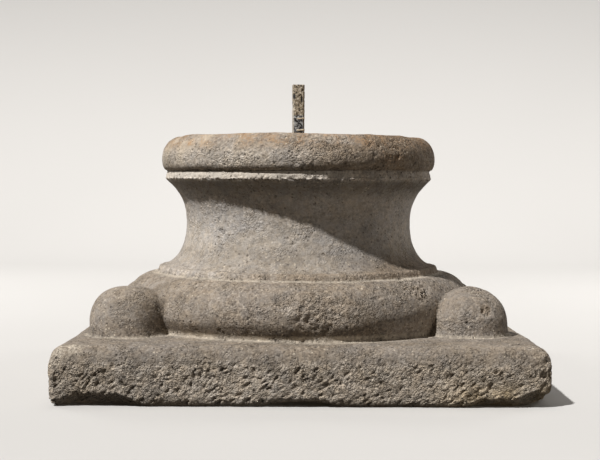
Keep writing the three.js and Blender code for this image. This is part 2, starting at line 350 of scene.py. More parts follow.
# Turns a section round an upright axis. The section is a line of points in the XZ plane.
def turnedTree():
    others = {"sides": "Int", "rows": "Int", "centre": "Vector", "lean": "Vector"}
    tree, given, out = geometryTree("turnedForm", ("leanFoot", "leanHeight"), "stone", **others)
    grid = newNode("GeometryNodeMeshGrid", {"Vertices X": given["sides"], "Vertices Y": given["rows"]})
    index = reading("Index")
    side = maths("FLOOR", over(plus(index, 0.5), given["rows"]))
    row = less(index, times(side, given["rows"]))
    angle = over(times(side, math.tau), less(given["sides"], 1))
    inputs = {"Geometry": given["Geometry"], "Value": reading("Position"), "Index": row}
    sample = newNode("GeometryNodeSampleIndex", inputs, data_type="FLOAT_VECTOR", domain="POINT")
    point = apart(sample.outputs[0])
    facing = together(maths("COSINE", angle), maths("SINE", angle), 0.0)
    away = vectorMaths("SCALE", facing, scale=point["X"])
    towards = vectorMaths("DOT_PRODUCT", facing, vectorMaths("NORMALIZE", given["lean"]))
    climbed = over(less(point["Z"], given["leanFoot"]), given["leanHeight"])
    fade = maths("POWER", maths("SUBTRACT", 1.0, climbed, clamp=True), 2.0)
    pull = times(most(towards, 0.0), fade)
    leaning = vectorMaths("SCALE", given["lean"], scale=pull)
    upright = together(0.0, 0.0, point["Z"])
    onAxis = vectorMaths("ADD", given["centre"], upright)
    place = vectorMaths("ADD", vectorMaths("ADD", away, leaning), onAxis)
    placed = newNode("GeometryNodeSetPosition", {"Geometry": grid.outputs["Mesh"], "Position": place})
    merged = newNode("GeometryNodeMergeByDistance", {"Geometry": placed.outputs[0], "Distance": 1e-6})
    closeTree(merged.outputs[0], given["stone"], out)
    return tree


def turned(form, section, sides, centre, lean, material):
    line = bpy.data.meshes.new("section")
    line.from_pydata([(r, 0, z) for r, z in section], [(i, i + 1) for i in range(len(section) - 1)], [])
    values = {"sides": sides + 1, "rows": len(section), "centre": centre, "lean": lean, "leanFoot": plinthTop,
              "leanHeight": section[-1][1] - plinthTop, "stone": material}
    return grown(line, form, values)


# The spall that bites hardest at a place in plan.
def spallAt(x, y):
    hardest = (0, 0, 0, (0, 0))
    for (middleX, middleY), half, rise, run, way in spalls:
        away = min(1, math.hypot(x - middleX, y - middleY) / half)
        bite = (1 - away ** 4) ** 2
        if bite * rise > hardest[0] * hardest[1]:
            hardest = (bite, rise, run, way)
    return hardest


# Draws a point back onto the plane of the broken front right corner, where it stands in front of it.
def brokenBack(x, y):
    cutX, cutY = block["cornerBreak"]
    over = ((x - halfWidth) / cutX + (-halfDepth - y) / cutY + 1) / (1 / cutX ** 2 + 1 / cutY ** 2)
    return (x, y) if over <= 0 else (x - over / cutX, y + over / cutY)


def dressingAt(along, height):
    waves = [math.sin(math.tau * (along / a + height / up)) for a, up in block["dressingWaves"]]
    return block["bandRelief"] * (1 - sum(waves) / len(waves)) / 2


# One ring of the plinth at a height, drawn in by inset, with the dressing at its given strength.
def plinthRing(inset, height, dressing):
    ring = []
    wear = block["sideWear"]
    radius = block["cornerRadius"]
    sides = ((halfWidth, halfDepth, 0, 0), (halfDepth, halfWidth, wear, 90),
             (halfWidth, halfDepth, 0, 180), (halfDepth, halfWidth, wear, 270))
    for half, reach, worn, turn in sides:
        straight = half - inset - radius
        steps = round(2 * half / block["planStep"])
        drawn = []
        for i in range(steps + 1):
            share = 2 * i / steps - 1
            dip = worn * inset / block["bevelWidth"] * (1 - share ** 2)
            drawn.append((straight * share, reach - inset - dip))
        for i in range(1, block["cornerSteps"]):
            bend = math.pi / 2 * i / block["cornerSteps"]
            drawn.append((straight + radius * math.sin(bend), reach - inset - radius * (1 - math.cos(bend))))
        for along, out in drawn:
            cut = dressing * dressingAt(along, height)
            point = Matrix.Rotation(math.radians(turn), 3, "Z") @ Vector((along, cut - out, height))
            bite, rise, run, way = spallAt(point.x, point.y)
            carried = bite * run if height == 0 else 0
            lifted = 0 if height == 0 else max(0, bite * rise - height * block["liftFade"])
            x, y = brokenBack(point.x + carried * way[0], point.y + carried * way[1])
            ring.append((x, y, height + lifted))
    return ring


def plinthMesh():
    bevel = block["bevelHeight"]
    width = block["bevelWidth"]
    inset = block["footInset"]
    band = plinthTop - bevel
    rings = [plinthRing(inset, 0, 1), plinthRing(inset / 4, block["footRound"], 1)]
    for i in range(1, block["bandRows"] + 1):
        height = block["footRound"] + (band - block["footRound"]) * i / block["bandRows"]
        relief = next(share for upTo, share in block["reliefFade"] if height < band * upTo)
        rings.append(plinthRing(0, height, relief))
    for bend in range(block["bevelStep"], 90, block["bevelStep"]):
        angle = math.radians(bend)
        height = band + (bevel - block["topWear"]) * math.sin(angle)
        rings.append(plinthRing(width * (1 - math.cos(angle)), height, 0))
    rings += [plinthRing(width, plinthTop - block["topWear"], 0), plinthRing(2 * width, plinthTop, 0)]
    count = len(rings[0])
    points = [p for ring in rings for p in ring] + [(0, 0, 0), (0, 0, plinthTop)]
    last = (len(rings) - 1) * count
    faces = []
    for i in range(count):
        after = (i + 1) % count
        faces += [(len(points) - 2, after, i), (len(points) - 1, last + i, last + after)]
        faces += [(r + i, r + after, r + count + after, r + count + i) for r in range(0, last, count)]
    mesh = bpy.data.meshes.new("plinth")
    mesh.from_pydata(points, [], faces)
    return mesh


# Joins overlapping closed meshes into one skin of even small faces.
def oneSkin(meshes, voxel):
    things = [linked("part", mesh) for mesh in meshes]
    whole = things[0]
    with bpy.context.temp_override(active_object=whole, selected_editable_objects=things, object=whole):
        bpy.ops.object.join()
    skin = whole.modifiers.new("skin", "REMESH")
    skin.mode = "VOXEL"
    skin.voxel_size = voxel
    skin.use_smooth_shade = True
    return plainMesh(whole)


# What weather, use and the mason's tools did to the surface: the values that go into the tree.
wear = {
    "bandEdge": 0.0398,
    "bandProud": 0.0009,
    "lumps": 0.0011,
    "creases": 0.0012,
    "picks": 0.0017,
    "crumble": 0.0010,
    "wander": 0.0020,
    "dents": 0.0007,
    "grit": 0.0003,
    "pocks": 0.0014,
    "edgeWear": 0.0011,
    "filletNibble": 0.0013,
    "seed": 7.3,
}

# How the dressing's strokes lie, and the size, detail, roughness and own seed of each noise of the surface.
strokes = {
    "lean": 38,
    "stretch": 2.5,
    "shove": 0.010,
    "crease": 0.055,
    "broken": (0.42, 0.58),
    "pickRaggedness": (0.0040, 0.0020),
    "pick": 0.0042,
    "pickEnds": (0.05, 0.42),
    "pickChance": (0.35, 0.9),
}
wearNoises = {
    "shove": (0.010, 3, 0.6, 0.0),
    "broadLumps": (0.0300, 2, 0.5, 0.0),
    "lumps": (0.0062, 4, 0.62, 0.0),
    "crumble": (0.0025, 4, 0.68, 2.0),
    "creases": (0.0075, 2, 0.5, 5.0),
    "broken": (0.012, 2, 0.5, 8.0),
    "bandEdge": (0.016, 3, 0.65, 0.0),
    "wander": (0.080, 2, 0.5, 0.0),
    "dents": (0.017, 4, 0.55, 0.0),
    "grit": (0.0055, 3, 0.6, 4.2),
    "pocks": (0.0062, 5, 0.68, 3.1),
    "pocked": (0.045, 2, 0.5, 0.0),
    "edgeWear": (0.0065, 4, 0.7, 1.7),
    "filletNibble": (0.0036, 3, 0.7, 6.4),
}
bandWobble = 0.014
bandEnds = (0.004, 0.002)
reliefScale = 0.0004

# Where the wear lies, as rows of limits.
wearPlaces = {
    "skyward": (("facingUp", 0.05, 0.55),),
    "offFoot": (("z", 0.0008, 0.0025),),
    "pockmarked": (("pocked", 0.44, 0.60),),
    "underRoll": (("z", upperRollBottom + 0.004, upperRollBottom + 0.008, 0, 0.8),),
    "pocks": (("pocks", 0.58, 0.69),),
    "arris": (("standing", 0.00015, 0.0008),),
    "nibble": (("edgeWear", 0.42, 0.66),),
    "onFillet": (("z", hollowTop - 0.003, hollowTop),
                 ("z", upperRollBottom, upperRollBottom + 0.002, 1, 0)),
    "lip": (("z", hollowTop - 0.0028, hollowTop - 0.0008),
            ("z", hollowTop + 0.0015, hollowTop + 0.0040, 1, 0), ("fromAxis", 0.130, 0.1335)),
    "gnawed": (("filletNibble", 0.42, 0.60, 0.1, 1.2),),
    "aboveFoot": (("z", 0, 0.003),),
}

# What the floor and the outline of a mark are made of.
markGround = {
    "size": 0.010,
    "finer": 0.004,
    "detail": (4, 0.65),
    "rough": -2.4,
    "level": 0.7,
    "edgeSize": 0.6,
    "edgeDetail": (3, 0.6),
    "ragged": 0.7,
    "core": 0.55,
}

# Marks at their own places: middle, radius, depth, roughness of the floor, raggedness of the outline.
marks = {
    "battered patch": ((0.016, -0.1755, 0.081), 0.027, 0.0032, 1.1, 0.5),
    "battered left": ((-0.012, -0.1712, 0.090), 0.013, 0.0016, 1.0, 0.5),
    "battered right": ((0.040, -0.1705, 0.080), 0.017, 0.0018, 1.0, 0.6),
    "battered lump": ((-0.0064, -0.1760, 0.0820), 0.0075, -0.0022, 0.2, 0.3),
    "battered crater": ((0.0110, -0.1740, 0.0755), 0.0085, 0.0016, 0.3, 0.5),
    "pitted crown": ((0.1085, -0.1190, 0.1016), 0.020, 0.0034, 1.7, 0.6),
    "knob chip": ((0.1735, -0.1345, 0.0790), 0.0068, 0.0030, 1.2, 0.5),
    "knob chip tail": ((0.1790, -0.1270, 0.0860), 0.0050, 0.0016, 1.0, 0.5),
    "knob pinhole": ((0.1552, -0.1395, 0.0691), 0.0022, 0.0024, 0.0, 0.0),
    "knob pitting": ((0.1680, -0.1150, 0.0920), 0.0180, 0.0013, 1.7, 0.8),
    "fillet loss": ((0.0320, -0.1305, 0.2060), 0.0090, 0.0024, 0.5, 0.5),
    "fillet loss right": ((0.0640, -0.1190, 0.2055), 0.0120, 0.0018, 0.5, 0.5),
    "fillet loss far": ((0.0900, -0.1000, 0.2045), 0.0140, 0.0016, 0.5, 0.6),
    "roll pit": ((-0.0056, -0.1400, 0.2164), 0.0050, 0.0006, 1.6, 0.9),
    "roll pit right": ((0.0715, -0.1185, 0.2130), 0.0036, 0.0015, 0.5, 0.4),
    "roll dent": ((0.0410, -0.1295, 0.2362), 0.0090, 0.0014, 0.6, 0.5),
    "rim loss": ((0.0610, -0.1130, 0.2450), 0.0080, 0.0018, 0.5, 0.4),
    "right shoulder": ((0.1230, -0.0500, 0.2420), 0.0360, 0.0026, 0.3, 0.5),
    "left shoulder": ((-0.1250, -0.0300, 0.2500), 0.0300, 0.0016, 0.3, 0.5),
    "roll pitting": ((0.0150, -0.1390, 0.2260), 0.0300, 0.0004, 1.7, 0.7),
    "right rim": ((0.0880, -0.0820, 0.2475), 0.0300, 0.0015, 0.2, 0.3),
    "stained pits": ((0.0866, -0.1068, 0.2304), 0.0150, 0.0009, 1.6, 0.8),
    "left pits": ((-0.0700, -0.1210, 0.2170), 0.0150, 0.0008, 1.3, 0.6),
    "plinth corner": ((0.2170, -0.1985, 0.0480), 0.0120, 0.0016, 0.6, 0.4),
    "worn corner": ((-0.2230, -0.1990, 0.0500), 0.0150, 0.0034, 0.8, 0.4),
    "back bruise": ((-0.0600, 0.1640, 0.0850), 0.0200, 0.0015, 1.0, 0.5),
    "back rim loss": ((0.0500, 0.1240, 0.2430), 0.0140, 0.0018, 0.6, 0.5),
    "left knob bruise": ((-0.1930, -0.1180, 0.0880), 0.0080, 0.0009, 0.8, 0.5),
    "side bruise": ((-0.1760, 0.0300, 0.0850), 0.0160, 0.0012, 1.0, 0.5),
}


# How much a point stands out from its neighbours, in metres: positive on arrises, negative in hollows.
def standing(iterations):
    position = reading("Position")
    inputs = {"Value": position, "Iterations": iterations, "Weight": 1.0}
    blurred = newNode("GeometryNodeBlurAttribute", data_type="FLOAT_VECTOR", inputs=inputs).outputs[0]
    return vectorMaths("DOT_PRODUCT", vectorMaths("SUBTRACT", position, blurred), reading("Normal"))


def stored(geometry, **values):
    for name, value in values.items():
        inputs = {"Geometry": geometry, "Name": name, "Value": value}
        node = newNode("GeometryNodeStoreNamedAttribute", inputs, data_type="FLOAT", domain="POINT")
        geometry = node.outputs[0]
    return geometry


def moved(geometry, distance):
    inputs = {"Geometry": geometry, "Offset": vectorMaths("SCALE", reading("Normal"), scale=distance)}
    return newNode("GeometryNodeSetPosition", inputs).outputs[0]


# Adds a noise about nought, times an amount, to a running total.
def swelling(total, vector, size, amount, detail, roughness, shift):
    lump = less(noise(vector, size, detail, roughness, shift), 0.5)
    return scaled(times(lump, 2.0), amount, total)


# One of the noises of the surface, moved on by the tree's seed, and the same as a swelling.
def wearNoise(seed, name, vector):
    size, detail, roughness, ownSeed = wearNoises[name]
    return noise(vector, size, detail, roughness, plus(seed, ownSeed))


def worn(seed, total, name, vector, amount):
    size, detail, roughness, ownSeed = wearNoises[name]
    return swelling(total, vector, size, amount, detail, roughness, plus(seed, ownSeed))


# The rough-dressed band: lumps, creases and pick marks that all lean the way of the mason's strokes.
def dressedRelief(given, position, seed):
    at = apart(position)
    lean = math.radians(strokes["lean"])
    along, up = plus(at["X"], at["Y"]), at["Z"]
    strokeX = plus(times(along, math.cos(lean)), times(up, math.sin(lean)))
    strokeY = less(times(up, math.cos(lean)), times(along, math.sin(lean)))
    shove = scaled(wearNoise(seed, "shove", position), strokes["shove"], -strokes["shove"] / 2)
    strokeX = over(strokeX, strokes["stretch"])
    stroke = together(strokeX, plus(strokeY, shove), 0.0)

    total = worn(seed, given["bandProud"], "broadLumps", position, given["lumps"])
    total = worn(seed, total, "lumps", stroke, given["lumps"])
    total = worn(seed, total, "crumble", stroke, given["crumble"])
    line = maths("ABSOLUTE", less(wearNoise(seed, "creases", stroke), 0.5))
    crease = ramp(line, 0.0, strokes["crease"], 1.0, 0.0)
    broken = ramp(wearNoise(seed, "broken", position), *strokes["broken"])
    total = less(total, times(crease, broken, given["creases"]))
    pit, chance = cells(ragged(stroke, *strokes["pickRaggedness"]), strokes["pick"], flat=True)
    pick = times(ramp(pit, *strokes["pickEnds"], 1.0, 0.0), ramp(chance, *strokes["pickChance"]))
    return less(total, times(pick, given["picks"]))


# Takes the marks at their own places out of a running total, and says where the stone is bruised by them.
def marked(seed, total, position):
    bruised = []
    for middle, radius, depth, roughness, raggedness in marks.values():
        gap = distance(position, middle)
        push = markGround["ragged"] * raggedness * radius
        edge = noise(position, radius * markGround["edgeSize"], *markGround["edgeDetail"], seed)
        edge = scaled(edge, 2 * push, -push)
        mask = ramp(plus(gap, edge), radius * markGround["core"], radius, 1.0, 0.0)
        groundSize = min(radius, markGround["size"] - markGround["finer"] * roughness)
        ground = noise(position, groundSize, *markGround["detail"], seed)
        floor = scaled(less(ground, 0.5), markGround["rough"] * roughness, markGround["level"])
        total = less(total, times(mask, floor, depth))
        bruised.append(mask)
    return total, most(*bruised)


# Weathers the block: an uneven hand-cut surface, nibbled arrises, the rough-dressed band and the marks above.
def weatherTree():
    tree, given, out = geometryTree("weatheredStone", wear, "stone")
    position = reading("Position")
    seed = given["seed"]
    at = apart(position)
    level = together(at["X"], at["Y"], 0.0)
    fields = {"z": at["Z"], "facingUp": apart(reading("Normal"))["Z"], "standing": standing(10),
              "fromAxis": distance(level, (block["axisShift"], 0, 0))}
    for name in ("pocked", "pocks", "edgeWear", "filletNibble"):
        fields[name] = wearNoise(seed, name, position)
    places = {name: shareOf(fields, rows) for name, rows in wearPlaces.items()}

    wobble = scaled(wearNoise(seed, "bandEdge", position), bandWobble, -bandWobble / 2)
    edgeLow, edgeHigh = less(given["bandEdge"], bandEnds[0]), plus(given["bandEdge"], bandEnds[1])
    band = times(ramp(plus(at["Z"], wobble), edgeLow, edgeHigh, 1.0, 0.0), places["offFoot"])
    total = times(dressedRelief(given, position, seed), band)
    for name in ("wander", "dents", "grit"):
        total = worn(seed, total, name, position, given[name])
    pocked = times(places["pocks"], most(places["pockmarked"], places["underRoll"]))
    total = less(total, times(pocked, given["pocks"]))
    total, bruised = marked(seed, total, position)

    # The arrises are nibbled, and the upper fillet's lower one is gnawed to a ragged line.
    nibble = times(places["nibble"], scaled(places["onFillet"], -0.8, 1.0))
    total = less(total, times(places["arris"], nibble, given["edgeWear"]))
    total = less(total, times(places["lip"], places["gnawed"], given["filletNibble"]))

    geometry = stored(given["Geometry"], dressed=band, bruised=bruised, arris=places["arris"],
                      skyward=places["skyward"])
    geometry = moved(geometry, times(total, places["aboveFoot"]))
    geometry = stored(geometry, relief=over(standing(4), reliefScale))
    closeTree(geometry, given["stone"], out)
    return tree


# The stone's colours as they show in even light, and how coarse its grain is. The chalk is partly a painted
# highlight, and the relief tone paints shade in recesses and highlight on raised parts.
stoneLook = {
    "darkest": seen(118, 111, 104),
    "palest": seen(236, 226, 214),
    "cream": seen(222, 206, 182),
    "ochre": seen(190, 156, 120),
    "straw": seen(196, 170, 122),
    "tan": seen(184, 164, 140),
    "dusty": seen(204, 193, 176),
    # The pale of the upper fillet, partly a painted highlight.
    "chalkAndHighlight": seen(246, 236, 222),
    "fleck": seen(228, 215, 194),
    "soot": seen(64, 58, 52),
    "roughness": 0.9,
    "specular": 0.2,
    "grainCells": 0.0031,
    "smallGrainCells": 0.0015,
    "cellRaggedness": (0.0026, 0.0024),
    "middleTone": 0.33,
    "coarseness": (0.38, 0.62, 0.5, 1.0),
    "grainTone": (0.18, 0.26, 0.22),
    "hollowFiner": (-0.35, -0.10, -0.2),
    # Painted shade in recesses and painted highlight where the surface stands out.
    "reliefShadeAndHighlight": (-1.2, 1.4, 0.0, 0.34),
    "arrisTone": 0.06,
    "bruisedTone": 0.26,
    "flecks": ((0.0020, 0.0016), 0.0027),
    "pores": ((0.0030, 0.0030), 0.0036),
    "crowd": (0.38, 0.56, 0.5, 1.0),
    "poreDarkness": 0.75,
    "cleanHigh": (-0.6, 1.0),
    "cleanLow": (-0.15, 0.15),
    "cleanBand": 0.9,
    "hollowBlue": 0.8,
    "ochreDepth": 0.45,
    "chipRaggedness": (0.007, 0.010),
    "unevenness": 0.010,
    "bumpiness": (0.44, 0.62, 0.28, 1.0),
    "swellings": ((0.120, 0.22, 3, 0.55, 2.0), (0.024, 0.24, 4, 0.6, 5.0), (0.0070, 0.34, 4, 0.65, 1.0)),
    "fineSwelling": (0.0026, 0.50, 3, 0.65, 3.0),
    "bumps": ((0.0029, 0.9), (0.0010, 0.9)),
    "smootherFillet": -0.6,
    "rougherBand": 0.75,
    "rougherBruises": 0.8,
    "poreDepth": 0.4,
    "grainHeight": 0.4,
}

# Tints that the stone's colour is multiplied by. Several of them carry painted shade, and one painted light.
tints = {
    "grimy": (0.50, 0.478, 0.452, 1.0),
    "clean": (1.0, 1.0, 1.0, 1.0),
    # Darker and browner: grime on the lower fillet, painted shadow on its right, and the upper roll's right
    # and lower side.
    "brownDarkening": (0.66, 0.60, 0.53, 1.0),
    # Darkening used for dirt, for painted shade under the lower roll and on the left knob, and under the
    # upper roll's belly.
    "dirtAndShade": (0.48, 0.45, 0.41, 1.0),
    # Painted shade under the upper fillet, at the top of the hollow.
    "shadeUnderFillet": (0.56, 0.555, 0.54, 1.0),
    "bluish": (0.975, 1.0, 1.03, 1.0),
    "earthy": (1.03, 1.0, 0.945, 1.0),
    "warmer": (1.02, 1.0, 0.965, 1.0),
    "cooler": (0.99, 1.0, 1.02, 1.0),
    "rusty": (1.02, 0.99, 0.95, 1.0),
    # Painted light on the lower roll's sunlit front.
    "paintedLight": (1.22, 1.21, 1.20, 1.0),
}

# The noises of the stone's colour: the size, the detail, the roughness and the shift.
stoneNoises = {
    "drift": (0.030, 4, 0.65, 9.0),
    "coarse": (0.026, 3, 0.6, 7.0),
    "patch": (0.055, 3, 0.6, 11.0),
    "fine": (0.0065, 4, 0.7, 17.0),
    "uneven": (0.007, 3, 0.65, 4.0),
    "rust": (0.014, 5, 0.75, 12.0),
    "powder": (0.006, 5, 0.75, 8.0),
    "patchy": (0.020, 3, 0.6, 14.0),
    "relief": (0.0038, 4, 0.70, 6.0),
}

# Where each stain lies, as rows of limits.
onLedge = (rollTop + 0.0006, rollTop + 0.0014)
stains = {
    "inHollow": (("z", hollowBottom - 0.002, hollowBottom + 0.006),
                 ("z", hollowTop - 0.004, hollowTop, 1, 0)),
    "lowStone": (("z", rollTop - 0.0007, rollTop + 0.0018, 1, 0),),
    # Painted shade: the top of the hollow, in the upper fillet's shadow, darkened further.
    "shadeUnderFillet": (("inHollow",), ("z", 0.180, 0.196)),
    "face": (("z", *onLedge), ("z", hollowBottom - 0.0002, hollowBottom + 0.0012, 1, 0),
             ("x", -0.085, -0.030, 0, 0.60)),
    # Painted shadow: the upper roll's shadow on the right of the lower fillet and the foot of the hollow.
    "rollShadowOnFillet": (("z", *onLedge), ("z", hollowBottom + 0.004, hollowBottom + 0.019, 1, 0),
                  ("x", 0.020, 0.085, 0, 1)),
    # Painted light: the lower roll's sunlit front made paler, fading where it turns into shade on the right.
    "litLowerRoll": (("fromAxis", 0.1770, 0.1790, 1, 0), ("z", 0.0660, 0.0740), ("lowStone",),
                ("x", 0.030, 0.080, 1, 0), ("x", -0.110, -0.050, 0.45, 1)),
    # Darker and browner on the upper roll's lower half and towards its right.
    "darkeningLow": (("unevenZ", 0.2320, 0.2390, 1, 0),),
    "darkeningRight": (("x", 0.030, 0.080),),
    "brownDarkening": (("x", -0.025, 0.045), ("upTo",), ("z", upperRollBottom, upperRollBottom + 0.002)),
    # Darker just under the upper roll's belly, less so towards the right.
    "under": (("z", upperRollBottom - 0.0006, upperRollBottom + 0.0004), ("z", 0.2115, 0.2175, 1, 0),
              ("x", 0.010, 0.055, 0.85, 0.1)),
    # Painted shade: the lower roll's undercut just above its foot, darkened where it curves in under the
    # belly.
    "below": (("z", 0.0580, 0.0600), ("unevenZ", 0.0650, 0.0715, 0.75, 0), ("fromAxis", 0.1765, 0.1785, 1, 0),
              ("x", 0.050, 0.090, 1, 0)),
    "onRoll": (("z", 0.212, 0.217),),
    "turningLeft": (("onRoll",), ("x", -0.130, -0.112, 0.35, 0)),
    "turningRight": (("onRoll",), ("x", 0.090, 0.120, 0, 0.30)),
    # Painted shade on the left knob: its shaded right side, low down, and its foot at the plinth.
    "leftKnobShadeSide": (("x", -0.154, -0.142, 0, 0.75), ("z", 0.080, 0.094, 1, 0)),
    "leftKnobShadeFoot": (("z", 0.058, 0.066, 0.3, 0),),
    "leftKnobShade": (("fromKnob", 0.0395, 0.0410, 1, 0), ("z", 0.0552, 0.0565)),
    "bandLeft": (("dressed",), ("x", -0.15, -0.06, 0.15, 0)),
    "cream": (("onRoll",), ("x", -0.10, 0.0, 1, 0), ("drift", 0.40, 0.60, 0, 0.45)),
    "ochreTop": (("unevenZ", 0.226, 0.240), ("drift", 0.30, 0.50), ("rust", 0.38, 0.60, 0.1, 0.9)),
    "ochreSpot": (("fromOchre", 0.006, 0.024, 1, 0), ("rust", 0.42, 0.60, 0, 0.7)),
    "ochreGrain": (("smallChance", 0.1, 0.7, 0.35, 1),),
    "tan": (("fromChip", 0.0030, 0.0070, 0.45, 0),),
    "straw": (("z", 0.010, 0.030, 1, 0), ("x", 0.10, 0.18), ("drift", 0.35, 0.6, 0, 0.5)),
    "fillet": (("z", hollowTop - 0.0005, hollowTop + 0.0005),
               ("z", upperRollBottom - 0.0006, upperRollBottom, 1, 0)),
    # Chalk on the upper fillet, kept to its sunlit left part: partly its own pale colour, partly a painted
    # highlight.
    "chalkAndHighlight": (("fillet",), ("x", 0.020, 0.070, 0.50, 0)),
    "ledge": (("fromAxis", lowerFilletRadius - 0.001, lowerFilletRadius + 0.001),
              ("fromAxis", lowerFilletRadius + 0.004, lowerFilletRadius + 0.008, 1, 0),
              ("z", rollTop - 0.003, rollTop - 0.001), ("z", rollTop + 0.001, rollTop + 0.003, 1, 0)),
    "foot": (("fromAxis", 0.172, 0.186, 1, 0), ("z", 0.0570, 0.0610, 1, 0)),
    "inCorner": (("relief", -0.9, -0.2, 1, 0), ("z", 0.0560, 0.0600, 1, 0)),
    "knobFoot": (("z", 0.0565, 0.0580, 1, 0), ("fromKnobSide", 0.026, 0.034, 0, 0.8)),
    "powder": (("powder", 0.38, 0.60, 0.15, 0.7),),
    "rubbedCorner": (("fromCorner", 0.006, 0.018, 0.8, 0),),
    "rubbedEdge": (("fromEdge", 0.004, 0.014, 0.7, 0),),
    "rubbedGrain": (("smallChance", 0.25, 0.75, 0.1, 1),),
    "flecks": (("speck", 0.20, 0.36, 0.70, 0), ("speckChance", 0.82, 0.90), ("crowd",)),
    "pores": (("hole", 0.20, 0.30, 1, 0), ("holeChance", 0.66, 0.76), ("crowd",)),
}

# The middles of round stains, and the ring of dust round a front knob: from and to where, outside its foot.
spots = {"fromOchre": (0.0880, -0.1060, 0.2280), "fromCorner": (-0.2200, -0.1990, 0.0480),
         "fromEdge": (-0.2020, -0.1930, 0.0540)}
chipSpot = (0.1737, -0.1339, 0.0797)
dustRing = ((0.0010, 0.0022), (0.0040, 0.0065, 1, 0))


def geometryValue(name):
    node = newNode("ShaderNodeAttribute", attribute_name=name, attribute_type="GEOMETRY")
    return node.outputs["Fac"]


def newMaterial(name):
    material = bpy.data.materials.new(name)
    material.use_nodes = True
    building["tree"] = material.node_tree
    shader = material.node_tree.nodes["Principled BSDF"]
    return material, shader, newNode("ShaderNodeTexCoord").outputs["Object"]


def bumped(height, distance, strength, below=None):
    inputs = {"Strength": strength, "Distance": distance, "Height": height, "Normal": below}
    return newNode("ShaderNodeBump", inputs).outputs[0]


# The share of a stain at each place. It is kept among the fields, for other stains to go by.
def spread(fields, name):
    fields[name] = shareOf(fields, stains[name])
    return fields[name]


def heaviest(fields, *names):
    return most(*(spread(fields, name) for name in names))


def tinted(share, colour, name):
    return mixed(share, colour, tints[name], "MULTIPLY")


# Everything that the stains go by.
def stoneFields(place):
    at = apart(place)
    fields = {name: geometryValue(name) for name in ("dressed", "bruised", "relief", "arris", "skyward")}
    fields.update(x=at["X"], z=at["Z"])
    level = together(at["X"], at["Y"], 0.0)
    fields["fromAxis"] = distance(level, (block["axisShift"], 0, 0))
    fields["fromKnob"] = distance(level, (-knobX, -knobY, 0))
    fields["fromRightKnob"] = distance(level, (knobX - block["rightKnobNearer"], -knobY, 0))
    knobSide = (block["knobRadii"][0] - knobX, -knobY, plinthTop)
    for name, middle in {**spots, "fromKnobSide": knobSide}.items():
        fields[name] = distance(place, middle)
    fields["fromChip"] = distance(ragged(place, *stoneLook["chipRaggedness"]), chipSpot)
    for name in ("drift", "rust", "powder"):
        fields[name] = noise(place, *stoneNoises[name])
    unevenness = less(noise(place, *stoneNoises["uneven"]), 0.5)
    fields["unevenZ"] = scaled(unevenness, stoneLook["unevenness"], at["Z"])
    jagged = ragged(place, *stoneLook["cellRaggedness"])
    fields["smallGrain"], fields["smallChance"] = cells(jagged, stoneLook["smallGrainCells"])
    fields["grain"], fields["chance"] = cells(jagged, stoneLook["grainCells"])
    for name, kind in (("speck", "flecks"), ("hole", "pores")):
        raggedness, size = stoneLook[kind]
        fields[name], fields[name + "Chance"] = cells(ragged(place, *raggedness), size)
    return fields


# One tone from nought to one, built of ever finer noises and grains, from the darkest stone to the palest,
# with painted shade in recesses and a painted highlight where the surface stands out.
def stoneTone(place, fields):
    inHollow = spread(fields, "inHollow")
    hollowCoarse, hollowGrain, _ = stoneLook["hollowFiner"]
    coarseness = ramp(noise(place, *stoneNoises["coarse"]), *stoneLook["coarseness"])
    coarseness = times(coarseness, scaled(inHollow, hollowCoarse, 1.0))
    tone = stoneLook["middleTone"]
    for size, amount, *rest in stoneLook["swellings"]:
        tone = swelling(tone, place, size, amount, *rest)
    size, amount, *rest = stoneLook["fineSwelling"]
    tone = swelling(tone, place, size, times(coarseness, amount), *rest)
    steady, small, large = stoneLook["grainTone"]
    smallAmount = scaled(coarseness, small, scaled(inHollow, hollowGrain, steady))
    tone = scaled(less(fields["smallChance"], 0.5), smallAmount, tone)
    tone = scaled(less(fields["chance"], 0.5), times(coarseness, large), tone)
    # Painted shade and highlight: darker in recesses, paler where the surface stands out.
    tone = plus(tone, ramp(fields["relief"], *stoneLook["reliefShadeAndHighlight"]))
    tone = scaled(fields["arris"], stoneLook["arrisTone"], tone)
    tone = scaled(fields["bruised"], stoneLook["bruisedTone"], tone)
    colour = mixed(tone, stoneLook["darkest"], stoneLook["palest"])
    for name, ends, warm in (("patch", (0.38, 0.62), "warmer"), ("fine", (0.40, 0.60), "rusty")):
        drawn = ramp(noise(place, *stoneNoises[name]), *ends)
        colour = mixed(1.0, colour, mixed(drawn, tints[warm], tints["cooler"]), "MULTIPLY")
    return colour


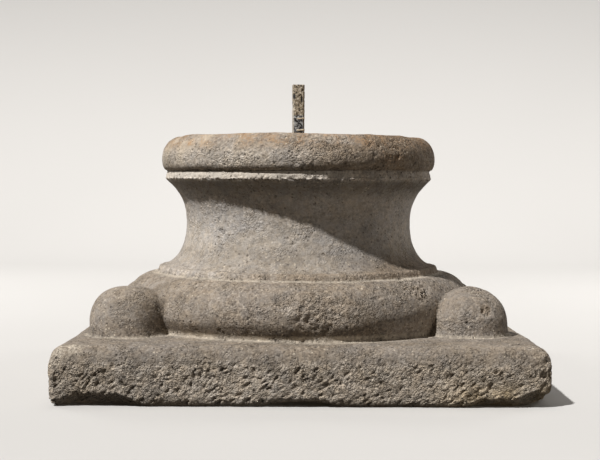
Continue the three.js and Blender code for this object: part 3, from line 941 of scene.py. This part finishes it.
# Grime, darker and browner patches and the stains, with painted shade and light among them. All of the lower
# stone is darker, and so are the upper stone's ledges, but not the rough band. The hollow is cooler, and
# darkened towards its top by painted shade under the upper fillet.
def stained(fields, colour):
    dressed, skyward = fields["dressed"], fields["skyward"]
    lowStone = spread(fields, "lowStone")
    cleanHigh = scaled(skyward, *stoneLook["cleanHigh"])
    cleanLow = scaled(skyward, *stoneLook["cleanLow"])
    clean = scaled(less(cleanLow, cleanHigh), lowStone, cleanHigh)
    clean = scaled(less(stoneLook["cleanBand"], clean), dressed, clean)
    colour = mixed(1.0, colour, mixed(clean, tints["grimy"], tints["clean"]), "MULTIPLY")
    colour = tinted(dressed, colour, "earthy")
    colour = tinted(times(fields["inHollow"], stoneLook["hollowBlue"]), colour, "bluish")
    # Painted shade at the top of the hollow, under the upper fillet.
    colour = tinted(spread(fields, "shadeUnderFillet"), colour, "shadeUnderFillet")
    # The lower fillet is grimed across its front, and on its right it carries painted shadow of the upper
    # roll. The
    # lower roll is paler on its sunlit front: painted light.
    colour = tinted(heaviest(fields, "face", "rollShadowOnFillet"), colour, "brownDarkening")
    # Painted light on the lower roll's sunlit front.
    colour = tinted(spread(fields, "litLowerRoll"), colour, "paintedLight")
    # The upper roll: darker and browner towards the right and low down, darker under its belly, cream on the
    # left and ochre on top.
    fields["upTo"] = heaviest(fields, "darkeningLow", "darkeningRight")
    colour = tinted(spread(fields, "brownDarkening"), colour, "brownDarkening")
    colour = tinted(spread(fields, "under"), colour, "dirtAndShade")
    spread(fields, "onRoll")
    # Painted shade on the left knob's shaded right side and at its foot.
    leftKnobShade = times(heaviest(fields, "leftKnobShadeSide", "leftKnobShadeFoot"), spread(fields, "leftKnobShade"))
    # Painted shade under the lower roll, with darkening at both ends of the upper roll's underside and on the
    # rough band's left.
    dirtAndShadeShare = heaviest(fields, "below", "turningLeft", "turningRight", "bandLeft")
    colour = tinted(most(dirtAndShadeShare, leftKnobShade), colour, "dirtAndShade")
    colour = mixed(spread(fields, "cream"), colour, stoneLook["cream"])
    ochre = times(heaviest(fields, "ochreTop", "ochreSpot"), spread(fields, "ochreGrain"))
    colour = mixed(ochre, colour, mixed(stoneLook["ochreDepth"], stoneLook["ochre"], colour, "MULTIPLY"))
    spread(fields, "fillet")
    # Tan round the chip, straw low on the right, and chalk on the upper fillet, which is partly a painted
    # highlight.
    for stain in ("tan", "straw", "chalkAndHighlight"):
        colour = mixed(spread(fields, stain), colour, stoneLook[stain])
    return colour


# Dust on the ledge and round the foot of each form, and on the rubbed left corner.
def dusted(fields, colour):
    settled = heaviest(fields, "foot", "ledge", "inCorner")
    knobFoot = spread(fields, "knobFoot")
    for field, radius in zip(("fromKnob", "fromRightKnob"), block["knobRadii"]):
        ring = knobFoot
        for start, stop, *ends in dustRing:
            ring = times(ring, ramp(fields[field], radius + start, radius + stop, *ends))
        settled = most(settled, ring)
    settled = times(settled, less(1.0, fields["dressed"]), spread(fields, "powder"))
    colour = mixed(settled, colour, stoneLook["dusty"])
    rubbed = times(heaviest(fields, "rubbedCorner", "rubbedEdge"), spread(fields, "rubbedGrain"))
    return mixed(rubbed, colour, stoneLook["dusty"])


def stoneMaterial():
    material, shader, place = newMaterial("weatheredStone")
    fields = stoneFields(place)
    colour = dusted(fields, stained(fields, stoneTone(place, fields)))

    # Pale flecks and small dark pores, ragged and of all sizes.
    inHollow = fields["inHollow"]
    hollowCoarse, _, hollowCrowd = stoneLook["hollowFiner"]
    fields["crowd"] = times(ramp(fields["drift"], *stoneLook["crowd"]), scaled(inHollow, hollowCrowd, 1.0))
    colour = mixed(spread(fields, "flecks"), colour, stoneLook["fleck"])
    pores = spread(fields, "pores")
    colour = mixed(times(pores, stoneLook["poreDarkness"]), colour, stoneLook["soot"])
    link(colour, shader.inputs["Base Color"])
    shader.inputs["Roughness"].default_value = stoneLook["roughness"]
    shader.inputs["Specular IOR Level"].default_value = stoneLook["specular"]

    # A bump of fine grain: rough in patches, less so in the hollow and on the upper fillet.
    rougher = ramp(noise(place, *stoneNoises["patchy"]), *stoneLook["bumpiness"])
    smoother = scaled(fields["fillet"], stoneLook["smootherFillet"], 1.0)
    rougher = times(rougher, scaled(inHollow, hollowCoarse, 1.0), smoother)
    rougher = scaled(fields["dressed"], stoneLook["rougherBand"], rougher)
    rougher = scaled(fields["bruised"], stoneLook["rougherBruises"], rougher)
    coarse = less(noise(place, *stoneNoises["relief"]), times(pores, stoneLook["poreDepth"]))
    grains = plus(fields["grain"], fields["smallGrain"])
    rounded = less(times(fields["smallChance"], stoneLook["grainHeight"]), grains)
    surface = None
    for height, (depth, strength) in zip((coarse, rounded), stoneLook["bumps"]):
        surface = bumped(times(height, rougher), depth, strength, surface)
    link(surface, shader.inputs["Normal"])
    return material


def carvedStone():
    stone = stoneMaterial()
    voxel = block["voxel"] * 1
    form = turnedTree()
    shift = (block["axisShift"], 0, 0)
    meshes = [plinthMesh(), turned(form, mouldingSection(), block["turnedSides"], shift, (0, 0, 0), stone)]
    sides = zip((-knobX, knobX - block["rightKnobNearer"]), block["knobRadii"], block["domeFullness"])
    for x, radius, fullness in sides:
        for y, height in zip((-knobY, knobY), block["knobHeights"]):
            centre = Vector((x, y, 0))
            lean = -centre.normalized() * block["knobLean"]
            section = knobSection(radius, height, fullness)
            meshes.append(turned(form, section, block["knobSides"], centre, lean, stone))
    print("stone: forms made")
    skin = oneSkin(meshes, voxel)
    print("stone: one skin of", len(skin.polygons), "faces")
    weathered = grown(skin, weatherTree(), {**wear, "stone": stone})
    print("stone: weathered")
    piece = linked("carvedStone", weathered)
    triangles = 2 * len(weathered.polygons)
    if triangles > block["mostTriangles"]:
        fewer = piece.modifiers.new("fewer", "DECIMATE")
        fewer.ratio = block["mostTriangles"] / triangles
        piece = linked("carvedStone", plainMesh(piece))
    piece.name = "carvedStone"
    piece.data.shade_smooth()
    print("stone:", len(piece.data.polygons), "faces kept")
    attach(piece, "root")
    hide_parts("stone_base")
    return piece


# The dowel: a forged square bar under an uneven crust of rust and old mortar, and the values for its tree.
# Its material paints shade down the bar's right edge and a highlight low along its left edge.
crustInputs = {"crust": 0.0005, "leftCrust": 0.0007, "crustFoot": 0.0225, "seed": 2.6}
dowel = {
    "side": 0.011,
    "height": 0.054,
    "depth": 0.080,
    "chamfer": 0.0012,
    "turn": 7,
    "voxel": 0.0005,
    "lumpNoise": (0.0032, 4, 0.65),
    "waveNoise": (0.0045, 3, 0.6),
    "wave": 0.0024,
    "crustEdge": 0.0010,
    "crustLevel": 0.006,
    "crustSwell": (2.4, 1.0),
    "ringEnd": (-0.0032, -0.0018),
    "pitFront": (-0.003, 0.0, 1.0, 0.0),
    "leftSide": (-0.8, -0.3, 1.0, 0.0),
    "leftFoot": 0.002,
    "rings": ((0.0193, 0.0008), (0.0074, 0.0009)),
    "pits": (((-0.0072, 0.0420), 0.0020, 2.0), ((0.0006, 0.0395), 0.0014, 4.0),
             ((0.0012, 0.0480), 0.0012, 2.0)),
    "pitDepth": 1.6,
    "ringRise": 0.8,
    "mottle": (0.005, 4, 0.7, 3.0),
    "cellRaggedness": (0.0018, 0.0016),
    "grainSizes": (0.0012, 0.0024),
    "paleMetal": (0.56, 0.74),
    "blackMetal": (0.36, 0.50, 1.0, 0.0),
    "darkCoat": (0.36, 0.56, 0.7, 0.0),
    "paleCoat": (0.58, 0.76),
    "blackCoat": (0.22, 0.36, 1.0, 0.0),
    # Painted shade down the bar's right edge.
    "shadedRightEdge": (0.0026, 0.0034, 0.0, 0.7),
    # Painted highlight low along the bar's left edge.
    "leftEdgeHighlight": (("x", -0.0078, -0.0071, 0.6, 0), ("z", bedHeight + 0.030, bedHeight + 0.036, 1, 0)),
    "bump": (0.0006, 0.6),
    "black": seen(22, 20, 20),
    "iron": seen(84, 84, 88),
    "ironPale": seen(176, 178, 178),
    "crustDark": seen(90, 80, 66),
    "crustMid": seen(156, 143, 121),
    "crustPale": seen(216, 205, 186),
    "ring": seen(226, 212, 188),
    # The pale of the painted highlight on the bar's left edge.
    "highlightPale": seen(196, 190, 178),
    # The dark of the painted shade down the bar's right edge.
    "stain": seen(112, 97, 76),
}


def dowelMesh():
    half = dowel["side"] / 2
    short = half - dowel["chamfer"]
    corner = [Vector((half, -short, 0)), Vector((half, short, 0))]
    outline = [Matrix.Rotation(math.pi / 2 * i, 3, "Z") @ c for i in range(4) for c in corner]
    spin = Matrix.Rotation(math.radians(dowel["turn"]), 3, "Z")
    ends = (bedHeight - dowel["depth"], bedHeight + dowel["height"])
    shift = Vector((block["axisShift"], 0, 0))
    points = [spin @ p + shift + Vector((0, 0, z)) for z in ends for p in outline]
    count = len(outline)
    faces = [tuple(reversed(range(count))), tuple(range(count, 2 * count))]
    faces += [(i, (i + 1) % count, count + (i + 1) % count, count + i) for i in range(count)]
    mesh = bpy.data.meshes.new("bar")
    mesh.from_pydata(points, [], faces)
    return mesh


def crustTree():
    tree, given, out = geometryTree("crustedBar", crustInputs, "iron")
    position = reading("Position")
    at = apart(position)
    height = at["Z"]
    lump = noise(position, *dowel["lumpNoise"], given["seed"])
    level = plus(height, scaled(lump, dowel["crustLevel"], -dowel["crustLevel"] / 2))
    start, edge = plus(given["crustFoot"], bedHeight), dowel["crustEdge"]
    crusted = ramp(level, less(start, edge), plus(start, edge))
    swell = times(less(lump, 0.45), scaled(crusted, *dowel["crustSwell"]))

    # Rings of old mortar round the bar.
    uneven = noise(position, *dowel["waveNoise"], plus(given["seed"], 4.0))
    wavy = plus(height, scaled(uneven, dowel["wave"], -dowel["wave"] / 2))
    rings = []
    for rise, thickness in dowel["rings"]:
        gap = maths("ABSOLUTE", less(wavy, bedHeight + rise))
        rings.append(ramp(gap, thickness * 0.6, thickness, 1.0, 0.0))
    ringEnd = plus(at["X"], times(uneven, 0.004))
    ringed = times(most(*rings), ramp(ringEnd, *dowel["ringEnd"]))
    swell = scaled(ringed, dowel["ringRise"], swell)

    # Deep pits in its front.
    pits = []
    for (across, rise), radius, stretch in dowel["pits"]:
        gapZ = over(less(height, bedHeight + rise), stretch)
        offset = together(less(at["X"], across), times(uneven, 0.001), gapZ)
        pits.append(ramp(vectorMaths("LENGTH", offset), radius * 0.5, radius, 1.0, 0.0))
    pitted = times(most(*pits), ramp(at["Y"], *dowel["pitFront"]))
    swell = less(swell, times(pitted, dowel["pitDepth"]))

    geometry = stored(given["Geometry"], crusted=crusted, ringed=ringed, pitted=pitted)
    outward = apart(reading("Normal"))["X"]
    left = times(ramp(outward, *dowel["leftSide"]), ramp(height, bedHeight, bedHeight + dowel["leftFoot"]))
    total = scaled(left, given["leftCrust"], times(swell, given["crust"]))
    closeTree(moved(geometry, total), given["iron"], out)
    return tree


def ironMaterial():
    material, shader, place = newMaterial("crustedIron")
    crusted, ringed, pitted = (geometryValue(name) for name in ("crusted", "ringed", "pitted"))
    at = apart(place)
    mottle = noise(place, *dowel["mottle"])
    jagged = ragged(place, *dowel["cellRaggedness"])
    grain, chance = cells(jagged, dowel["grainSizes"][0])
    lumpChance = cells(jagged, dowel["grainSizes"][1])[1]
    speckle = scaled(lumpChance, 0.4, times(chance, 0.6))
    metal = mixed(ramp(speckle, *dowel["paleMetal"]), dowel["iron"], dowel["ironPale"])
    metal = mixed(ramp(speckle, *dowel["blackMetal"]), metal, dowel["black"])
    coat = mixed(ramp(mottle, *dowel["darkCoat"]), dowel["crustMid"], dowel["crustDark"])
    coat = mixed(ramp(speckle, *dowel["paleCoat"]), coat, dowel["crustPale"])
    coat = mixed(ramp(speckle, *dowel["blackCoat"]), coat, dowel["black"])
    colour = mixed(crusted, metal, coat)
    # Painted shade down the bar's right edge.
    shadedRightEdge = ramp(scaled(mottle, 0.002, at["X"]), *dowel["shadedRightEdge"])
    # Painted highlight low along the bar's left edge.
    leftEdgeHighlight = shareOf({"x": at["X"], "z": at["Z"]}, dowel["leftEdgeHighlight"])
    for share, name in ((shadedRightEdge, "stain"), (leftEdgeHighlight, "highlightPale"), (ringed, "ring"), (pitted, "black")):
        colour = mixed(share, colour, dowel[name])
    link(colour, shader.inputs["Base Color"])
    bare = maths("SUBTRACT", 1.0, most(crusted, ringed), clamp=True)
    link(times(bare, 0.3), shader.inputs["Metallic"])
    link(ramp(mottle, 0.3, 0.7, 0.6, 0.9), shader.inputs["Roughness"])
    link(bumped(grain, *dowel["bump"]), shader.inputs["Normal"])
    return material


def crustedDowel():
    iron = ironMaterial()
    skin = oneSkin([dowelMesh()], dowel["voxel"])
    piece = linked("crustedDowel", grown(skin, crustTree(), {**crustInputs, "iron": iron}))
    piece.data.shade_smooth()
    print("dowel:", len(piece.data.polygons), "faces")
    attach(piece, "root")
    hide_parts("iron_dowel")
    return piece


# The studio: a pale sweep, a key light from the upper left, a dim warm fill, two rim lights and the camera.
studio = {
    "floorColour": (0.60, 0.59, 0.575, 1.0),
    "floorFront": -3.0,
    "floorBend": 1.6,
    "bendRadius": 1.2,
    "floorHalf": 5.0,
    "bendSteps": 24,
    "paperNoise": (0.5, 2, 0.5, 0.0),
    "paperShade": 0.97,
    "wallHeight": 4.0,
    "keyTurn": 53,
    "keyHeight": 53,
    "keyAngle": 2.6,
    "keyStrength": 4.2,
    "rimPlaces": ((-1.3, 0.9, 0.7), (1.3, 0.9, 0.6)),
    "rimSize": 0.6,
    "rimPower": 5,
    "wallLightPlace": (0.0, 1.3, 3.0),
    "wallLightAim": (0.0, 2.8, 0.9),
    "wallLightSize": 3.0,
    "wallLightPower": 26,
    "fillPlace": (1.5, -1.1, 0.35),
    "fillSize": 0.8,
    "fillPower": 3.1,
    "ambient": 0.055,
    "keyColour": (1.0, 0.985, 0.965),
    "softColour": (1.0, 0.98, 0.96),
    "fillColour": (1.0, 0.93, 0.85),
    "ambientColour": (1.0, 0.88, 0.75, 1.0),
    "sensor": 36.0,
    "nearest": 0.05,
    "lens": 75.0,
    "cameraPlace": (-0.0007, -1.300, 0.2024),
    "pitch": 2.336,
    "roll": 0.25,
}


def paleSweep():
    material, shader, place = newMaterial("palePaper")
    tint = noise(place, *studio["paperNoise"])
    low = [v * studio["paperShade"] for v in studio["floorColour"][:3]] + [1.0]
    link(mixed(tint, studio["floorColour"], low), shader.inputs["Base Color"])
    shader.inputs["Roughness"].default_value = 0.9
    radius = studio["bendRadius"]
    line = [(studio["floorFront"], 0.0), (studio["floorBend"], 0.0)]
    for i in range(1, studio["bendSteps"] + 1):
        bend = math.pi / 2 * i / studio["bendSteps"]
        line.append((studio["floorBend"] + radius * math.sin(bend), radius * (1 - math.cos(bend))))
    line.append((studio["floorBend"] + radius, studio["wallHeight"]))
    half = studio["floorHalf"]
    points = [(x, y, z) for y, z in line for x in (-half, half)]
    faces = [(2 * i, 2 * i + 1, 2 * i + 3, 2 * i + 2) for i in range(len(line) - 1)]
    mesh = bpy.data.meshes.new("paleSweep")
    mesh.from_pydata(points, [], faces)
    mesh.materials.append(material)
    mesh.shade_smooth()
    sweep = linked("paleSweep", mesh)
    sweep.visible_diffuse = False  # so that the stone's shades stay deep


def softbox(name, place, size, power, colour, aim=(0, 0, 0.12)):
    lamp = bpy.data.lights.new(name, "AREA")
    lamp.shape = "DISK"
    lamp.size = size
    lamp.energy = power
    lamp.color = colour
    thing = linked(name, lamp)
    thing.location = place
    thing.rotation_euler = (Vector(aim) - Vector(place)).to_track_quat("-Z", "Y").to_euler()


def lightAndCamera():
    sun = bpy.data.lights.new("key", "SUN")
    sun.energy = studio["keyStrength"]
    sun.angle = math.radians(studio["keyAngle"])
    sun.color = studio["keyColour"]
    key = linked("key", sun)
    turn, rise = math.radians(studio["keyTurn"]), math.radians(studio["keyHeight"])
    towards = Vector((-math.sin(turn) * math.cos(rise), -math.cos(turn) * math.cos(rise), math.sin(rise)))
    key.rotation_euler = towards.to_track_quat("Z", "Y").to_euler()
    softbox("wallLight", studio["wallLightPlace"], studio["wallLightSize"], studio["wallLightPower"],
            studio["softColour"], studio["wallLightAim"])
    for i, place in enumerate(studio["rimPlaces"]):
        softbox(f"rim{i}", place, studio["rimSize"], studio["rimPower"], studio["softColour"])
    softbox("fill", studio["fillPlace"], studio["fillSize"], studio["fillPower"], studio["fillColour"])
    world = bpy.data.worlds.new("studio")
    world.use_nodes = True
    sky = world.node_tree.nodes["Background"].inputs
    sky["Color"].default_value = studio["ambientColour"]
    sky["Strength"].default_value = studio["ambient"]
    scene = bpy.context.scene
    scene.world = world
    scene.view_settings.view_transform = "Standard"
    camera = bpy.data.cameras.new("camera")
    camera.lens = studio["lens"]
    camera.sensor_width = studio["sensor"]
    camera.clip_start = studio["nearest"]
    eye = linked("camera", camera)
    eye.location = studio["cameraPlace"]
    tilt = Matrix.Rotation(math.radians(90 - studio["pitch"]), 3, "X")
    eye.rotation_euler = (tilt @ Matrix.Rotation(math.radians(studio["roll"]), 3, "Z")).to_euler()
    scene.camera = eye


lightAndCamera()
paleSweep()
carvedStone()
crustedDowel()
